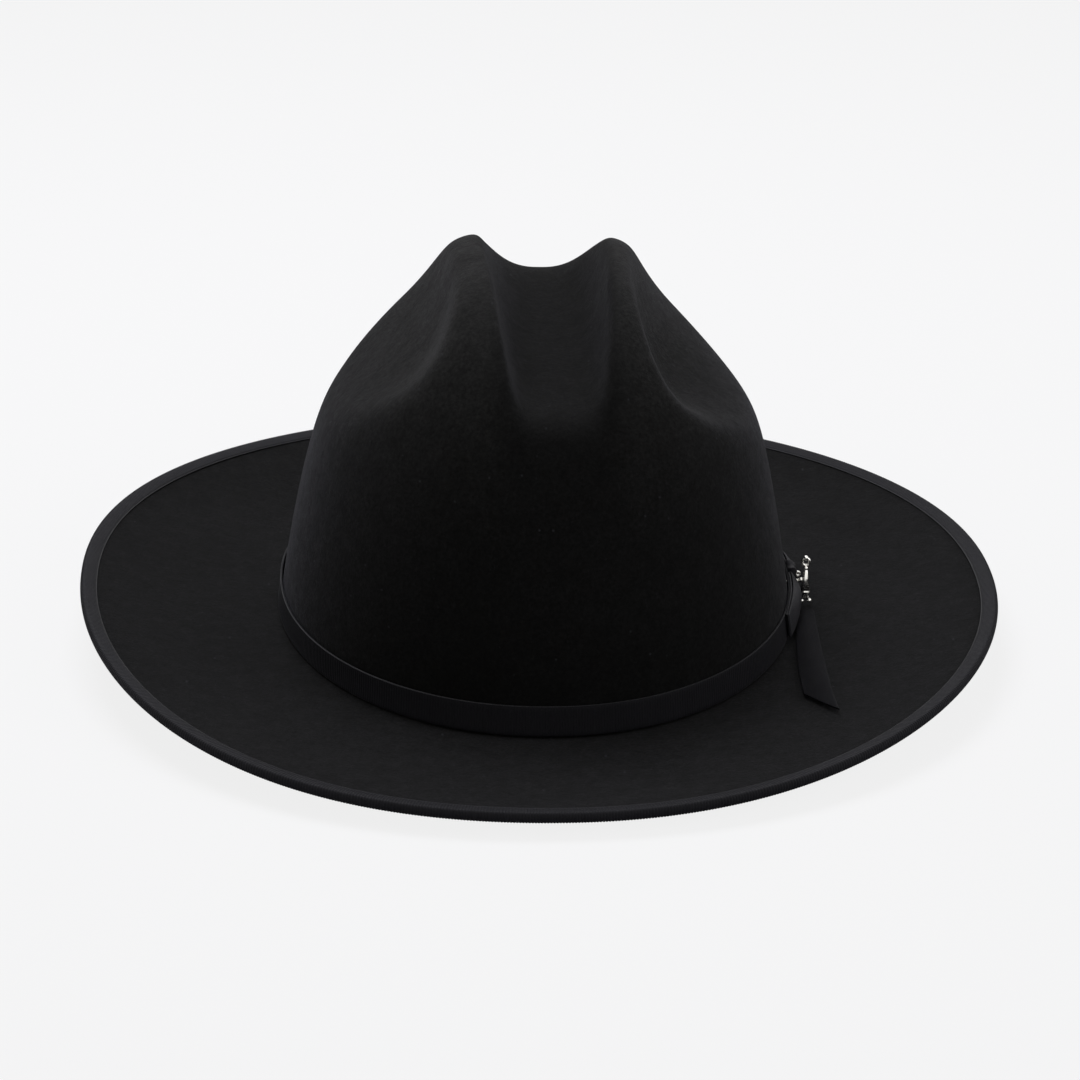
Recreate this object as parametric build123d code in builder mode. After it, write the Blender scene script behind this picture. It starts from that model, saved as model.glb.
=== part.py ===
from build123d import *
import os
from math import atan, atan2, cos, exp, pi, sin, sqrt, tau

# A felt cowboy hat with a cattleman crown, standing on its brim.
# Millimetres, +Z up, front of the hat towards -Y, the wearer's left towards +X.
# The origin is the centre of the outline on the plane the brim rests on.

# Felt
felt_t = 2.4
crown_half_w = 87.3  # outside of the felt where crown and brim meet
crown_half_l = 104.9
oval_power = 2.12  # 2 is an ellipse, higher is squarer
crown_taper = 0.0016  # share of the plan lost per millimetre of height

# Brim, heights measured from the crown's foot at front and back
brim_half_w = 155.3
brim_half_l = 171.0
rim_front = 4.1
rim_back = 11.0
rim_side = 16.6
rim_power = 2.8  # how late the side curl starts
rim_twist = 0.15  # radians that the curl is turned, as a hand-shaped brim is
rim_lean = 2.6
brim_curl = 1.8
side_rise = 5.1  # the foot of the crown is higher at the sides
side_lean = 1.5

# Crown
ridge_top = 129.6  # top of the full dome, before it is creased
dome_power = 3.3
crease_floor = 101.4
crease_fall = 0.044
crease_front_w = 20.8  # half widths of the centre crease
crease_back_w = 24.7
crease_front_power = 5.5
crease_back_power = 2.5
crease_side = 4.3  # the crease lies a little to the wearer's left
crease_rise = 20.0
dent_angle = 0.847  # lean of each side dent's floor
dent_skew = -0.0275  # how much more the wearer's left dent leans
dent_out = 112.85
dent_turn = 0.041  # the dents come closer together towards the back
dent_flare = 5.1
dent_mid = 22.6
scoop_deep = 11.2
scoop_skew = 5.0  # how much deeper the wearer's left scoop is
scoop_y = -33.0
scoop_len = 47.4
scoop_up = 32.3
scoop_high = 28.8
edge_power = 26.0  # sharpness of the folds where crown, crease and dents meet

# Brim binding, a folded ribbon
binding_w = 5.5
binding_t = 0.6
binding_gap = 0.12

# Band and bow ribbon
ribbon_w = 9.8
ribbon_t = 0.7
band_gap = 0.15
band_up = 0.8
knot_y = 3.0
knot_w = 8.0
knot_t = 3.3
knot_over = 0.6  # how far the knot stands past the ribbon's edges
front_loop_len = 32.0
front_loop_bulge = 4.6
rear_loop_len = 13.0
rear_loop_bulge = 3.4
bow_gap = 0.3
bow_up = 0.6  # the bow sits a little higher than the band
tail_root_y = -12.2
tail_root_out = 1.2  # the root's inner edge, out from the crown's foot
tail_root_w = 6.4
tail_end_y = -83.0
tail_end_in = 2.2  # the end's inner edge, in from the widest line of the foot
tail_end_w = 7.6
tail_slant = 19.0
tail_lift = 0.25
tail_rise = 1.7  # the free end stands off the brim

# Pin
pin_high = 16.4
pin_bead_r = 1.9
pin_rod_r = 1.1
pin_foot_r = 2.1
pin_y = -6.0
pin_over = 2.7  # the pin sits above the middle of the ribbon
pin_off = 3.4  # from the ribbon below the bow to the back of the pin
post_r = 0.6
post_gap = 0.15
post_tail = 1.9  # length of post inside the felt
clutch_r = 2.8
clutch_t = 1.2
clutch_gap = 0.2

# Sweatband, its reed and tape
sweat_gap = 2.8  # room between felt and leather
sweat_t = 1.2
sweat_h = 48.0
sweat_ease = 1.3  # how much the leather leans in towards its top
sweat_low = -0.1
reed_r = 0.7
reed_gap = 0.15
tape_t = 0.45
tape_h = 6.0
tape_gap = 0.25
rear_bow_len = 13.0
rear_bow_h = 5.0
rear_bow_t = 1.0
rear_bow_up = 8.0
rear_bow_gap = 0.45

# Lining
lining_gap = 1.3
lining_ease = 2.6  # how much further in the lining hangs at its seam
lining_t = 0.7
lining_low = 0.42  # lift angles, radians: lower edge and seam of the tip
lining_seam = 0.98
seam_gap = 0.004  # radians between side piece and tip
piping_r = 1.1
piping_gap = 0.9

# Stations round the hat, closer at front and back where the crease runs out
stations = 48
closer = 0.25
foot_r = 0.01  # width of the turn from brim to crown, as a share of the brim
foot_lift = 0.006
outer_rows = 20
inner_rows = 20
lining_rows = 6
tip_rows = 10
brim_rows = 4

base = felt_t  # height of the crown's foot over the plane the hat rests on


def oval(angle):
    """Point of the unit oval."""
    x = cos(angle)
    y = sin(angle)
    size = (abs(x) ** oval_power + abs(y) ** oval_power) ** (-1 / oval_power)
    return x * size, y * size


def foot_height(angle):
    return side_rise * cos(angle) ** 2 - side_lean * cos(angle)


def fullness(x, y, z, dome, inset):
    """Smooth maximum of dome, crease and both dents: 1 on the crown's surface."""
    back = min(max((y + 80) / 140, 0), 1)
    width = crease_front_w + (crease_back_w - crease_front_w) * back + 0.6 * inset
    power = crease_front_power + (crease_back_power - crease_front_power) * back
    wall = min(abs((x - crease_side) / width) ** power, 8)
    trough = z / (crease_floor - inset + crease_fall * y + crease_rise * wall)
    total = dome**edge_power + max(trough, 0) ** edge_power
    for side in (1, -1):
        lean = dent_angle + side * dent_skew
        across = cos(lean) * x * side + sin(lean) * z
        along = cos(lean) * z - sin(lean) * x * side
        scoop = exp(-(((y - scoop_y) / scoop_len) ** 2) - ((along - scoop_up) / scoop_high) ** 2)
        flare = dent_flare * (max(along - dent_mid, 0) / dent_mid) ** 2
        deep = scoop_deep + side * scoop_skew
        floor = dent_out - inset - deep * scoop + flare - dent_turn * y
        total += max(across / floor, 0) ** edge_power
    return total ** (1 / edge_power)


def crown_point(angle, lift, inset=0.0):
    """Point of the crown seen from its centre at a lift angle, moved in by inset."""
    x, y = oval(angle)
    level = max(cos(lift), 0.0)
    top = ridge_top - inset
    x *= (crown_half_w - inset) * level
    y *= (crown_half_l - inset) * level
    z = 100 * sin(lift)
    dome = (level**dome_power + (z / top) ** dome_power) ** (-1 / dome_power)
    low, high = 0.5 * dome, dome
    for _ in range(24):
        reach = (low + high) / 2
        if fullness(x * reach, y * reach, z * reach, reach / dome, inset) < 1:
            low = reach
        else:
            high = reach
    z *= reach
    shrink = reach * (1 - crown_taper * z)
    return Vector(x * shrink, y * shrink, base + z + foot_height(angle) * max(1 - z / 80, 0))


def wall_point(angle, up, inset=0.0):
    """Point on the crown's upright wall at a height over its foot."""
    x, y = oval(angle)
    shrink = 1 - crown_taper * up
    rise = foot_height(angle) * max(1 - up / 80, 0)
    return Vector(
        (crown_half_w - inset) * x * shrink, (crown_half_l - inset) * y * shrink, base + up + rise
    )


def brim_height(angle, reach):
    """Height of the brim's upper face, reach 0 at the crown and 1 at the rim."""
    side = abs(cos(angle + rim_twist)) ** rim_power
    middle = (rim_front + rim_back) / 2
    ends = middle + (rim_back - rim_front) / 2 * sin(angle + rim_twist)
    rim = ends * (1 - side) + rim_side * side - rim_lean * cos(angle)
    foot = foot_height(angle)
    return base + foot + (rim - foot) * max(reach, 0) ** brim_curl


def brim_point(angle, reach, over=0.0):
    """Point of the brim's upper face, lifted by over."""
    x, y = oval(angle)
    half_w = crown_half_w + (brim_half_w - crown_half_w) * reach
    half_l = crown_half_l + (brim_half_l - crown_half_l) * reach
    return Vector(half_w * x, half_l * y, brim_height(angle, reach) + over)


def rim_point(angle, inward, over):
    """Point near the rim: inward of it, and over the brim's upper face."""
    width = (brim_half_w + brim_half_l - crown_half_w - crown_half_l) / 2
    return brim_point(angle, 1 - inward / width, over)


def brim_over(x, y):
    """Height of the brim's upper face over a place in plan."""
    low, high = 0.0, 1.0
    for _ in range(30):
        reach = (low + high) / 2
        half_w = crown_half_w + (brim_half_w - crown_half_w) * reach
        half_l = crown_half_l + (brim_half_l - crown_half_l) * reach
        if (abs(x) / half_w) ** oval_power + (abs(y) / half_l) ** oval_power > 1:
            low = reach
        else:
            high = reach
    return brim_height(atan2(y / half_l, x / half_w), reach)


def ring(place):
    """Closed spline through the stations, given the point at an angle."""
    points = []
    for step in range(stations):
        turn = pi / 2 + tau * step / stations
        points.append(place(turn + closer * sin(2 * turn)))
    knots = [step / stations for step in range(stations + 1)]
    return Wire([Edge.make_spline(points, periodic=True, parameters=knots)])


def skin(rings, rows=1):
    """Faces lofted through rings, a few rings to a face."""
    faces = []
    for start in range(0, len(rings) - 1, rows):
        part_of = rings[start : start + rows + 1]
        faces += Shell.make_loft(part_of, ruled=len(part_of) == 2).faces()
    return faces


def closed_solid(faces):
    return Solid(Shell(Face.sew_faces(faces)[0]))


def hoop(corners, place):
    """Solid that runs round the hat with a many-sided section, given as corner pairs."""
    rings = [ring(lambda angle, u=u, v=v: place(angle, u, v)) for u, v in corners]
    return closed_solid(skin(rings + rings[:1]))


def dome_rings(place, lift_from, lift_to, rows):
    """Rings between two lifts, ending in a point if they reach the very top."""
    rings = []
    for row in range(rows + 1):
        lift = lift_from + (lift_to - lift_from) * row / rows
        if lift > pi / 2 - 0.001:
            rings.append(Vertex(place(0, lift)))
        else:
            rings.append(ring(lambda angle, lift=lift: place(angle, lift)))
    return rings


def up_wall(angle, inset, up):
    return wall_point(angle, up, inset)


# Felt body: crown and brim pressed from one felt
outer_crown = dome_rings(crown_point, foot_lift, pi / 2, outer_rows)
inner_crown = dome_rings(
    lambda angle, lift: crown_point(angle, lift, felt_t), foot_lift, pi / 2, inner_rows
)
reaches = [foot_r + (1 - foot_r) * row / brim_rows for row in range(brim_rows + 1)]
upper_brim = [ring(lambda angle, r=r: brim_point(angle, r)) for r in reaches]
lower_brim = [ring(lambda angle, r=r: brim_point(angle, r, -felt_t)) for r in reaches]
felt_faces = skin(outer_crown) + skin(inner_crown)
felt_faces += skin(upper_brim, brim_rows) + skin(lower_brim, brim_rows)
felt_faces += skin([upper_brim[-1], lower_brim[-1]])
felt_faces += skin([upper_brim[0], outer_crown[0]]) + skin([lower_brim[0], inner_crown[0]])
felt_shell = closed_solid(felt_faces)

# The bow's frame: on the wall at the wearer's left, x to the rear, z outwards
wall_lean = atan(crown_taper * crown_half_w)
band_out = band_gap + ribbon_t
bow_mid = band_up + ribbon_w / 2 + bow_up
bow_origin = wall_point(0, bow_mid, -band_out - bow_gap)
outwards = Vector(cos(wall_lean), 0, sin(wall_lean))
bow_face = Plane(origin=bow_origin, x_dir=(0, 1, 0), z_dir=outwards)


def wall_sag(along):
    """How far the wall falls away from its tangent at the side."""
    share = (abs(along) / crown_half_l) ** oval_power
    return crown_half_w * (1 - (1 - share) ** (1 / oval_power))


post_origin = bow_origin + bow_face.x_dir * pin_y + bow_face.y_dir * pin_over
post_face = Plane(
    origin=post_origin - outwards * wall_sag(pin_y), x_dir=(0, 1, 0), z_dir=outwards
)
post_bore_r = post_r + post_gap
bore_len = 30.0

with BuildPart() as felt_body:
    add(felt_shell)
    with BuildSketch(post_face.offset(-bore_len / 2)):
        Circle(post_bore_r)
    extrude(amount=bore_len, mode=Mode.SUBTRACT)

# Brim binding: a ribbon folded over the rim, open towards the crown
fold = binding_gap + binding_t
binding_corners = [
    (binding_w, binding_gap),
    (-binding_gap, binding_gap),
    (-binding_gap, -felt_t - binding_gap),
    (binding_w, -felt_t - binding_gap),
    (binding_w, -felt_t - fold),
    (-fold + binding_t / 2, -felt_t - fold),
    (-fold, -felt_t - fold + binding_t / 2),
    (-fold, fold - binding_t / 2),
    (-fold + binding_t / 2, fold),
    (binding_w, fold),
]
with BuildPart() as brim_binding:
    add(hoop(binding_corners, rim_point))

# Hat band: a ribbon round the foot of the crown
band_top = band_up + ribbon_w
band_corners = [
    (-band_gap, band_up),
    (-band_gap, band_top),
    (-band_out, band_top),
    (-band_out, band_up),
]
with BuildPart() as hat_band:
    add(hoop(band_corners, up_wall))
    with BuildSketch(post_face.offset(-bore_len / 2)):
        Circle(post_bore_r)
    extrude(amount=bore_len, mode=Mode.SUBTRACT)

# Bow loops: ribbon folded into a flat lens, following the curve of the wall
loop_floor = Plane(
    origin=bow_origin - bow_face.y_dir * (ribbon_w / 2), x_dir=(0, 1, 0), z_dir=bow_face.y_dir
)


def bow_loop(start, end, bulge):
    middle = (start + end) / 2
    with BuildPart() as loop:
        with BuildSketch(loop_floor):
            with BuildLine():
                near = (start, wall_sag(start))
                far = (end, wall_sag(end))
                ThreePointArc(near, (middle, wall_sag(middle)), far)
                ThreePointArc(near, (middle, wall_sag(middle) - bulge), far)
            make_face()
            offset(amount=-ribbon_t, mode=Mode.SUBTRACT)
        extrude(amount=ribbon_w)
        with BuildSketch(post_face.offset(-bore_len / 2)):
            Circle(post_bore_r)
        extrude(amount=bore_len, mode=Mode.SUBTRACT)
    return loop


front_start = knot_y - knot_w / 2 - bow_gap
rear_start = knot_y + knot_w / 2 + bow_gap
bow_loop_front = bow_loop(front_start, front_start - front_loop_len, front_loop_bulge)
bow_loop_rear = bow_loop(rear_start, rear_start + rear_loop_len, rear_loop_bulge)

# Knot: the short ribbon wrapped round the middle of the bow
with BuildPart() as bow_knot:
    with BuildSketch(bow_face):
        with Locations((knot_y, 0)):
            Rectangle(knot_w, ribbon_w + 2 * knot_over)
    extrude(amount=knot_t)
    fillet(bow_knot.faces().sort_by(Axis(bow_origin, outwards))[-1].edges(), ribbon_t)

# Tail: the ribbon's free end, lying forwards on the brim
def tail_edge(root_x, end_x, end_y, over):
    """Edge of the tail from its root to its cut end, over the brim."""
    steps = 8
    points = []
    for step in range(steps + 1):
        share = step / steps
        x = end_x + (root_x - end_x) * (1 - share) ** 2
        y = tail_root_y + (end_y - tail_root_y) * share
        points.append(Vector(x, y, brim_over(x, y) + over + tail_rise * share**2))
    return Edge.make_spline(points)


root_in = crown_half_w + tail_root_out
end_in = crown_half_w - tail_end_in
tail_inner = (root_in, end_in, tail_end_y)
tail_outer = (root_in + tail_root_w, end_in + tail_end_w, tail_end_y - tail_slant)
edges = [
    tail_edge(*tail_inner, tail_lift),
    tail_edge(*tail_outer, tail_lift),
    tail_edge(*tail_outer, tail_lift + ribbon_t),
    tail_edge(*tail_inner, tail_lift + ribbon_t),
]
tail_faces = []
for near, far in zip(edges, edges[1:] + edges[:1]):
    tail_faces.append(Face.make_surface_from_curves(near, far))
for end in (0, 1):
    corners = [edge @ end for edge in edges]
    tail_faces.append(Face(Wire.make_polygon(corners, close=True)))
with BuildPart() as bow_tail:
    add(closed_solid(tail_faces))

# Pin: a turned bar that stands upright on the front loop
pin_face = post_face.offset(pin_off)
pin_r = max(pin_bead_r, pin_rod_r, pin_foot_r)
pin_axis = pin_face.offset(pin_r)
with BuildPart() as pin_bar:
    with BuildSketch(pin_axis):
        with BuildLine():
            half = pin_high / 2
            neck = half - pin_bead_r - sqrt(pin_bead_r**2 - pin_rod_r**2)
            Polyline(
                (0, half),
                (0, -half),
                (pin_foot_r, -half),
                (pin_foot_r, -half + 1),
                (pin_rod_r, -half + 3),
                (pin_rod_r, neck),
            )
            ThreePointArc((pin_rod_r, neck), (pin_bead_r, half - pin_bead_r), (0, half))
        make_face()
    revolve(axis=Axis(pin_axis.origin, pin_axis.y_dir))
    with BuildSketch(pin_axis.rotated((0, 180, 0))):
        Circle(pin_rod_r)
    extrude(amount=pin_r)

felt_inner = -band_out - bow_gap - felt_t
with BuildPart() as pin_post:
    with BuildSketch(pin_face.rotated((0, 180, 0))):
        Circle(post_r)
    extrude(amount=pin_off - felt_inner + post_tail)

clutch_face = post_face.offset(felt_inner - clutch_gap)
with BuildPart() as pin_clutch:
    with BuildSketch(clutch_face.rotated((0, 180, 0))):
        Circle(clutch_r)
        Circle(post_r + clutch_gap, mode=Mode.SUBTRACT)
    extrude(amount=clutch_t)

# Sweatband: a leather strip standing inside the crown
sweat_out = felt_t + sweat_gap
sweat_in = sweat_out + sweat_t
sweat_top = sweat_low + sweat_h
sweat_corners = [
    (sweat_out, sweat_low),
    (sweat_in, sweat_low),
    (sweat_in + sweat_ease, sweat_top),
    (sweat_out + sweat_ease, sweat_top),
]
with BuildPart() as sweatband:
    add(hoop(sweat_corners, up_wall))

# Reed: the round stiffener under the leather's lower edge
reed_inset = (sweat_out + sweat_in) / 2
reed_up = sweat_low - reed_gap - reed_r
reed_corners = []
for side in range(6):
    turn = tau * side / 6
    reed_corners.append((reed_inset + reed_r * cos(turn), reed_up + reed_r * sin(turn)))
with BuildPart() as sweatband_reed:
    add(hoop(reed_corners, up_wall))

# Reed tape: up the felt, and under the reed
tape_out = felt_t + tape_gap
tape_in = tape_out + tape_t
tape_low = reed_up - reed_r - reed_gap - tape_t
tape_corners = [
    (tape_out, tape_low),
    (sweat_in, tape_low),
    (sweat_in, tape_low + tape_t),
    (tape_in, tape_low + tape_t),
    (tape_in, tape_low + tape_h),
    (tape_out, tape_low + tape_h),
]
with BuildPart() as reed_tape:
    add(hoop(tape_corners, up_wall))

# Small bow where the sweatband closes, at the back of the head
rear_lean = atan(crown_taper * crown_half_l + sweat_ease / sweat_h)
rear_inset = sweat_in + sweat_ease * rear_bow_up / sweat_h + rear_bow_gap
rear_face = Plane(
    origin=wall_point(pi / 2, rear_bow_up, rear_inset),
    x_dir=(1, 0, 0),
    z_dir=(0, -cos(rear_lean), -sin(rear_lean)),
)
with BuildPart() as sweatband_bow:
    with BuildSketch(rear_face):
        with BuildLine():
            half = rear_bow_len / 2
            tip = rear_bow_h / 2
            waist = rear_bow_h / 5
            Polyline(
                (-half, -tip), (0, -waist), (half, -tip), (half, tip), (0, waist), (-half, tip), close=True
            )
        make_face()
    extrude(amount=rear_bow_t)
    with BuildSketch(rear_face):
        Rectangle(rear_bow_h / 2, rear_bow_h / 2 + rear_bow_t)
    extrude(amount=2 * rear_bow_t)

# Lining: a side piece and a tip, joined by piping at the seam
def lining_point(angle, lift, depth):
    """Point of the lining, which hangs further from the felt towards its seam."""
    share = min((lift - lining_low) / (lining_seam - lining_low), 1)
    return crown_point(angle, lift, felt_t + lining_gap + lining_ease * share + depth)


def lining_rings(depth, lift_from, lift_to, rows):
    return dome_rings(
        lambda angle, lift: lining_point(angle, lift, depth), lift_from, lift_to, rows
    )


side_out = lining_rings(0, lining_low, lining_seam, lining_rows)
side_in = lining_rings(lining_t, lining_low, lining_seam, lining_rows)
side_faces = skin(side_out) + skin(side_in)
side_faces += skin([side_out[0], side_in[0]]) + skin([side_out[-1], side_in[-1]])
with BuildPart() as lining_side:
    add(closed_solid(side_faces))

tip_out = lining_rings(0, lining_seam + seam_gap, pi / 2, tip_rows)
tip_in = lining_rings(lining_t, lining_seam + seam_gap, pi / 2, tip_rows)
tip_faces = skin(tip_out) + skin(tip_in)
tip_faces += skin([tip_out[0], tip_in[0]])
with BuildPart() as lining_tip:
    add(closed_solid(tip_faces))


def seam_point(angle, depth, lift):
    return lining_point(angle, lift, depth)


piping_in = lining_t + piping_gap
piping_half = piping_r / 100  # radians
piping_corners = [
    (piping_in, lining_seam - piping_half),
    (piping_in, lining_seam + piping_half),
    (piping_in + piping_r, lining_seam + piping_half),
    (piping_in + piping_r, lining_seam - piping_half),
]
with BuildPart() as lining_piping:
    add(hoop(piping_corners, seam_point))

pieces = {
    "felt_body": felt_body,
    "brim_binding": brim_binding,
    "hat_band": hat_band,
    "bow_loop_front": bow_loop_front,
    "bow_loop_rear": bow_loop_rear,
    "bow_knot": bow_knot,
    "bow_tail": bow_tail,
    "pin_bar": pin_bar,
    "pin_post": pin_post,
    "pin_clutch": pin_clutch,
    "sweatband": sweatband,
    "sweatband_reed": sweatband_reed,
    "reed_tape": reed_tape,
    "sweatband_bow": sweatband_bow,
    "lining_side": lining_side,
    "lining_tip": lining_tip,
    "lining_piping": lining_piping,
}
os.makedirs("parts", exist_ok=True)
for name, piece in pieces.items():
    piece.part.label = name
    export_step(piece.part, f"parts/{name}.step")
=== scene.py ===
import math

import bmesh
import bpy
import numpy as np
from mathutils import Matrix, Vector


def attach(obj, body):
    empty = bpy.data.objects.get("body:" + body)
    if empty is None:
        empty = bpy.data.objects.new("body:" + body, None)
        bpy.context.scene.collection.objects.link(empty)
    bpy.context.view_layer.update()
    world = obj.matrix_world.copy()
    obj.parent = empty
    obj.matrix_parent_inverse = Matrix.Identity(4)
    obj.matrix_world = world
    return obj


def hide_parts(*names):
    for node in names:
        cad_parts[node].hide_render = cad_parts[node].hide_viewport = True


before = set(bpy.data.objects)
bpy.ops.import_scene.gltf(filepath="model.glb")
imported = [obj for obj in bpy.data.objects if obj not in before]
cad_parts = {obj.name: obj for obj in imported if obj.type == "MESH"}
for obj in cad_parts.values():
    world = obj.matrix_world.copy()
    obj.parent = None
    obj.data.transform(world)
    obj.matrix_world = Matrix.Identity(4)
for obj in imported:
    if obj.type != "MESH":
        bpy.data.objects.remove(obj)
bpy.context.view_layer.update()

mm = 0.001
halfTurn = math.pi

# The hat's block: the same shape as the solids have, in millimetres.
# Front of the hat is -Y, the wearer's left is +X.
hatShape = {
    "feltThick": 2.4,
    "crownHalfWide": 87.3,
    "crownHalfLong": 104.9,
    "ovalPower": 2.12,
    "crownTaper": 0.0016,
    "brimHalfWide": 155.3,
    "brimHalfLong": 171.0,
    "rimFront": 4.1,
    "rimBack": 11.0,
    "rimSide": 16.6,
    "rimPower": 2.8,
    "rimTwist": 0.15,
    "rimLean": 2.6,
    "brimCurl": 1.8,
    "sideRise": 5.1,
    "sideLean": 1.5,
    "ridgeTop": 129.8,
    "domePower": 3.3,
    "creaseFloor": 101.4,
    "creaseFall": 0.044,
    "creaseFrontWide": 20.8,
    "creaseBackWide": 24.7,
    "creaseFrontPower": 5.5,
    "creaseBackPower": 2.5,
    "creaseSide": 4.3,
    "creaseRise": 20.0,
    "creaseWallTop": 8,  # the crease's wall rises no further than this
    "creaseFrontY": -80,  # where the crease starts to widen towards the back
    "creaseRun": 140,
    "creaseInset": 0.6,
    "dentAngle": 0.847,
    "dentSkew": -0.0275,
    "dentOut": 112.85,
    "dentTurn": 0.041,
    "dentFlare": 5.1,
    "dentMid": 22.6,
    "scoopDeep": 11.2,
    "scoopSkew": 5.0,
    "scoopY": -33.0,
    "scoopLong": 47.4,
    "scoopUp": 32.3,
    "scoopHigh": 28.8,
    "liftUnit": 100,  # height at a lift of a quarter turn
    "footFade": 80,  # height at which the foot's rise and shift are gone
    "footShift": -1.2,  # the crown sits a little to the wearer's right
    "foldSharp": 46.0,  # folds of the dents
    "creaseSharp": 27.0,  # the centre crease has softer edges
}


brimWidth = (hatShape["brimHalfWide"] + hatShape["brimHalfLong"]
             - hatShape["crownHalfWide"] - hatShape["crownHalfLong"]) / 2


def oval(angle):
    x, y = np.cos(angle), np.sin(angle)
    power = hatShape["ovalPower"]
    size = (abs(x) ** power + abs(y) ** power) ** (-1 / power)
    return x * size, y * size


def footHeight(angle):
    return hatShape["sideRise"] * np.cos(angle) ** 2 - hatShape["sideLean"] * np.cos(angle)


def fullness(x, y, z, dome, inset):
    h = hatShape
    sharp = h["foldSharp"]
    back = np.clip((y - h["creaseFrontY"]) / h["creaseRun"], 0, 1)
    wide = h["creaseFrontWide"] + (h["creaseBackWide"] - h["creaseFrontWide"]) * back
    wide = wide + h["creaseInset"] * inset
    power = h["creaseFrontPower"] + (h["creaseBackPower"] - h["creaseFrontPower"]) * back
    wall = np.minimum(abs((x - h["creaseSide"]) / wide) ** power, h["creaseWallTop"])
    trough = z / (h["creaseFloor"] - inset + h["creaseFall"] * y + h["creaseRise"] * wall)
    total = dome**sharp
    for side in (1, -1):
        lean = h["dentAngle"] + side * h["dentSkew"]
        across = math.cos(lean) * x * side + math.sin(lean) * z
        along = math.cos(lean) * z - math.sin(lean) * x * side
        scoop = np.exp(
            -(((y - h["scoopY"]) / h["scoopLong"]) ** 2)
            - ((along - h["scoopUp"]) / h["scoopHigh"]) ** 2
        )
        flare = h["dentFlare"] * (np.maximum(along - h["dentMid"], 0) / h["dentMid"]) ** 2
        deep = h["scoopDeep"] + side * h["scoopSkew"]
        floor = h["dentOut"] - inset - deep * scoop + flare - h["dentTurn"] * y
        total = total + np.maximum(across / floor, 0) ** sharp
    soft = h["creaseSharp"]
    return (total ** (soft / sharp) + np.maximum(trough, 0) ** soft) ** (1 / soft)


# Crown seen from its middle: angle round, lift up to the top, inset inwards.
def crownPoint(angle, lift, inset=0.0):
    h = hatShape
    x, y = oval(angle)
    level = np.maximum(np.cos(lift), 0)
    x = x * (h["crownHalfWide"] - inset) * level
    y = y * (h["crownHalfLong"] - inset) * level
    z = h["liftUnit"] * np.sin(lift) + 0 * angle
    top = h["ridgeTop"] - inset
    dome = (level ** h["domePower"] + (z / top) ** h["domePower"]) ** (-1 / h["domePower"])
    low, high = 0.5 * dome, 1.0 * dome
    for _ in range(26):
        reach = (low + high) / 2
        inside = fullness(x * reach, y * reach, z * reach, reach / dome, inset) < 1
        low = np.where(inside, reach, low)
        high = np.where(inside, high, reach)
    z = z * reach
    shrink = reach * (1 - h["crownTaper"] * z)
    low = np.maximum(1 - z / h["footFade"], 0)
    up = h["feltThick"] + z + footHeight(angle) * low
    return np.stack([x * shrink + h["footShift"] * low, y * shrink, up], -1) * mm


# Angle and lift of the crown's topmost place
crownTop = np.array(0.0), np.array(halfTurn / 2)


def wallPoint(angle, up, inset=0.0):
    h = hatShape
    x, y = oval(angle)
    shrink = 1 - h["crownTaper"] * up
    low = np.maximum(1 - up / h["footFade"], 0)
    rise = footHeight(angle) * low
    return np.stack([
        (h["crownHalfWide"] - inset) * x * shrink + h["footShift"] * low,
        (h["crownHalfLong"] - inset) * y * shrink,
        h["feltThick"] + up + rise,
    ], -1) * mm


def brimHeight(angle, reach):
    h = hatShape
    side = abs(np.cos(angle + h["rimTwist"])) ** h["rimPower"]
    ends = (h["rimFront"] + h["rimBack"]) / 2
    ends = ends + (h["rimBack"] - h["rimFront"]) / 2 * np.sin(angle + h["rimTwist"])
    rim = ends * (1 - side) + h["rimSide"] * side - h["rimLean"] * np.cos(angle)
    foot = footHeight(angle)
    return h["feltThick"] + foot + (rim - foot) * np.maximum(reach, 0) ** h["brimCurl"]


def brimHalves(reach):
    h = hatShape
    wide = h["crownHalfWide"] + (h["brimHalfWide"] - h["crownHalfWide"]) * reach
    long = h["crownHalfLong"] + (h["brimHalfLong"] - h["crownHalfLong"]) * reach
    return wide, long


def brimPoint(angle, reach, over=0.0):
    h = hatShape
    x, y = oval(angle)
    wide, long = brimHalves(reach)
    shift = h["footShift"] * (1 - reach)
    return np.stack([wide * x + shift, long * y, brimHeight(angle, reach) + over], -1) * mm


# Place on the brim, given by its way in from the rim
def rimPoint(angle, inward, over):
    return brimPoint(angle, 1 - inward / brimWidth, over)


# Height of the brim's upper face over a place in plan, all in millimetres.
def brimOver(x, y):
    h = hatShape
    low, high = np.zeros_like(x), np.ones_like(x)
    for _ in range(30):
        reach = (low + high) / 2
        wide, long = brimHalves(reach)
        beyond = (abs(x) / wide) ** h["ovalPower"] + (abs(y) / long) ** h["ovalPower"] > 1
        low = np.where(beyond, reach, low)
        high = np.where(beyond, high, reach)
    return brimHeight(np.arctan2(y / long, x / wide), reach)


def meshPiece(name, points, faces, flip=False):
    mesh = bpy.data.meshes.new(name)
    mesh.from_pydata(np.concatenate(points).tolist(), [], faces)
    if flip:
        mesh.flip_normals()
    mesh.validate()
    mesh.polygons.foreach_set("use_smooth", [True] * len(mesh.polygons))
    mesh.update()
    piece = bpy.data.objects.new(name, mesh)
    bpy.context.scene.collection.objects.link(piece)
    return piece


def gridQuads(index):
    quads = np.stack([index[:-1, :-1], index[:-1, 1:], index[1:, 1:], index[1:, :-1]], -1)
    return quads.reshape(-1, 4).tolist()


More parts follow.
